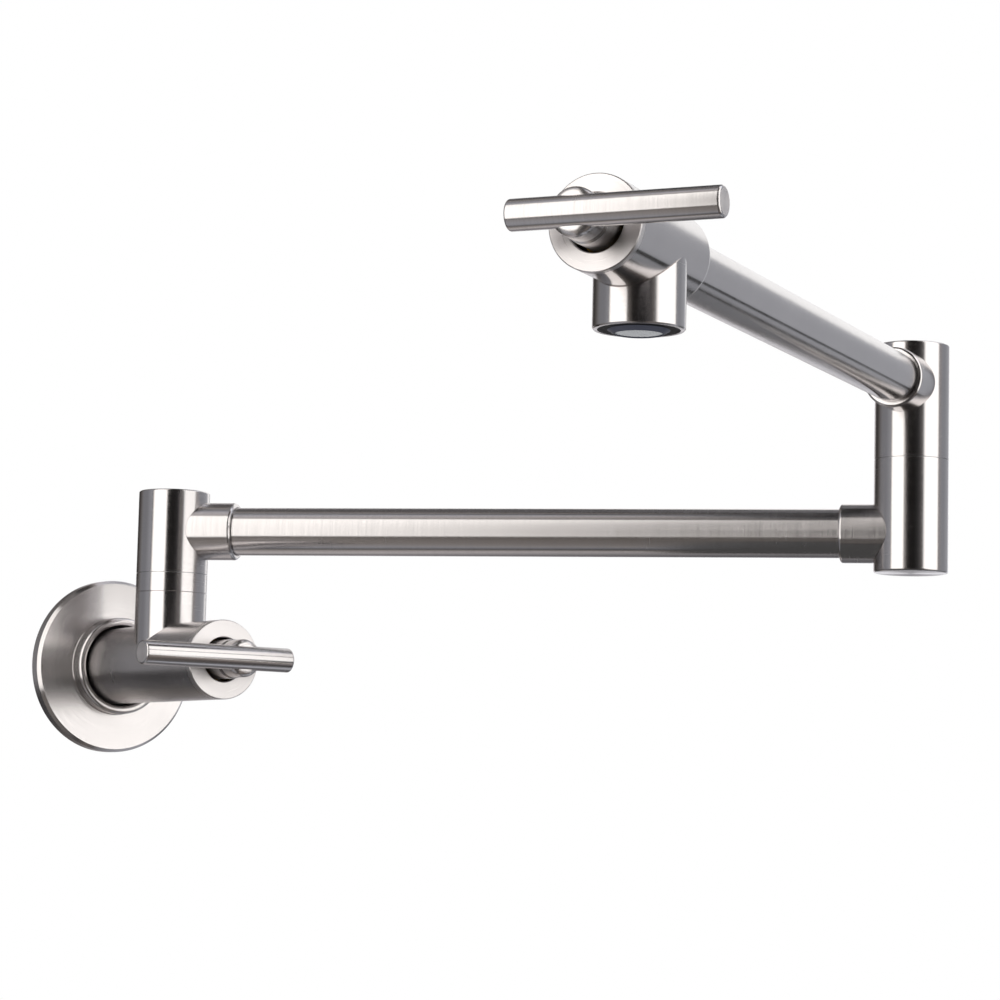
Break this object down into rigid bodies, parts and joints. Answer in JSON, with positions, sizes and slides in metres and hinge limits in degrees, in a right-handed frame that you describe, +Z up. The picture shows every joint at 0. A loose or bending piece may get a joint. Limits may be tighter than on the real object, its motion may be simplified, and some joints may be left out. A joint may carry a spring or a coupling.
{
  "type": "wall mounted pot filler",
  "caption": "Folding pot filler tap: round wall flange, hinged tube arms on upright posts, quarter-turn bar handles on the wall valve and spout, downward outlet.",
  "frame": {"origin": "on the wall plane, at the centre of the flange and on the axis of the inlet thread", "axes": "+Z up; +Y into the wall along the inlet thread; +X along the wall, to the right seen from the room"},
  "size_m": [0.3177, 0.4991, 0.1584],
  "materials": {
    "brushed_shell": "satin, brushed along each tube",
    "handle_bar_steel": "satin, brushed along the bar",
    "handle_hub_steel": "satin, turned",
    "faced_steel": "satin, lathe faced",
    "inner_brass": "machined",
    "fastener_steel": "plain",
    "black_rubber": "matte",
    "white_acetal": "matte",
    "ceramic_disc": "ground ceramic",
    "aerator_black": "semi-gloss",
    "aerator_grey": "matte"
  },
  "bodies": {
    "wall_body": {"wall_flange": "brushed_shell", "wall_gasket": "black_rubber", "body_seal": "black_rubber", "inlet_nipple": "inner_brass", "inlet_collar": "brushed_shell", "valve_body": "brushed_shell", "riser_lock_ring": "brushed_shell", "lower_spindle": "inner_brass", "lower_spindle_o_rings": "black_rubber", "lower_thrust_washer": "fastener_steel", "lower_retaining_clip": "fastener_steel", "wall_cover_ring": "faced_steel", "wall_cartridge_body": "inner_brass", "wall_seat_seal": "black_rubber", "wall_fixed_disc": "ceramic_disc"},
    "wall_handle": {"wall_handle_hub": "handle_hub_steel", "wall_handle_bar": "handle_bar_steel", "wall_bar_screw": "fastener_steel", "wall_grub_screw": "fastener_steel", "wall_stem": "inner_brass", "wall_stem_seals": "black_rubber", "wall_moving_disc": "ceramic_disc"},
    "lower_arm": {"lower_sleeve": "brushed_shell", "lower_top_cap": "brushed_shell", "lower_bushes": "white_acetal", "lower_arm_inner_socket": "brushed_shell", "lower_arm_tube": "brushed_shell", "lower_arm_outer_socket": "brushed_shell", "elbow_lower_post": "brushed_shell", "elbow_bottom_cap": "brushed_shell", "elbow_spindle": "inner_brass", "elbow_spindle_o_rings": "black_rubber", "elbow_thrust_washer": "fastener_steel", "elbow_retaining_clip": "fastener_steel"},
    "upper_arm": {"elbow_sleeve": "brushed_shell", "elbow_top_cap": "brushed_shell", "elbow_bushes": "white_acetal", "upper_arm_socket": "brushed_shell", "upper_arm_tube": "brushed_shell", "spout_head": "brushed_shell", "spout_outlet": "brushed_shell", "aerator_housing": "aerator_black", "aerator_insert": "aerator_grey", "aerator_washer": "black_rubber", "spout_cover_ring": "faced_steel", "spout_cartridge_body": "inner_brass", "spout_seat_seal": "black_rubber", "spout_fixed_disc": "ceramic_disc"},
    "spout_handle": {"spout_handle_hub": "handle_hub_steel", "spout_handle_bar": "handle_bar_steel", "spout_bar_screw": "fastener_steel", "spout_grub_screw": "fastener_steel", "spout_stem": "inner_brass", "spout_stem_seals": "black_rubber", "spout_moving_disc": "ceramic_disc"}
  },
  "joints": [
    {"name": "wall_handle_turn", "type": "hinge", "parent": "wall_body", "child": "wall_handle", "pos_m": [0, -0.0926, 0], "axis": [0, -1, 0], "range_deg": [0, 90]},
    {"name": "lower_arm_swing", "type": "hinge", "parent": "wall_body", "child": "lower_arm", "pos_m": [0, -0.0496, 0.0521], "axis": [0, 0, 1], "range_deg": [-132.6, 47.4]},
    {"name": "upper_arm_swing", "type": "hinge", "parent": "lower_arm", "child": "upper_arm", "pos_m": [0.19677, -0.26358, 0.1079], "axis": [0, 0, 1], "continuous": true},
    {"name": "spout_handle_turn", "type": "hinge", "parent": "upper_arm", "child": "spout_handle", "pos_m": [-0.07979, -0.4291, 0.1079], "axis": [-0.8581, -0.5135, 0], "range_deg": [0, 90]}
  ]
}
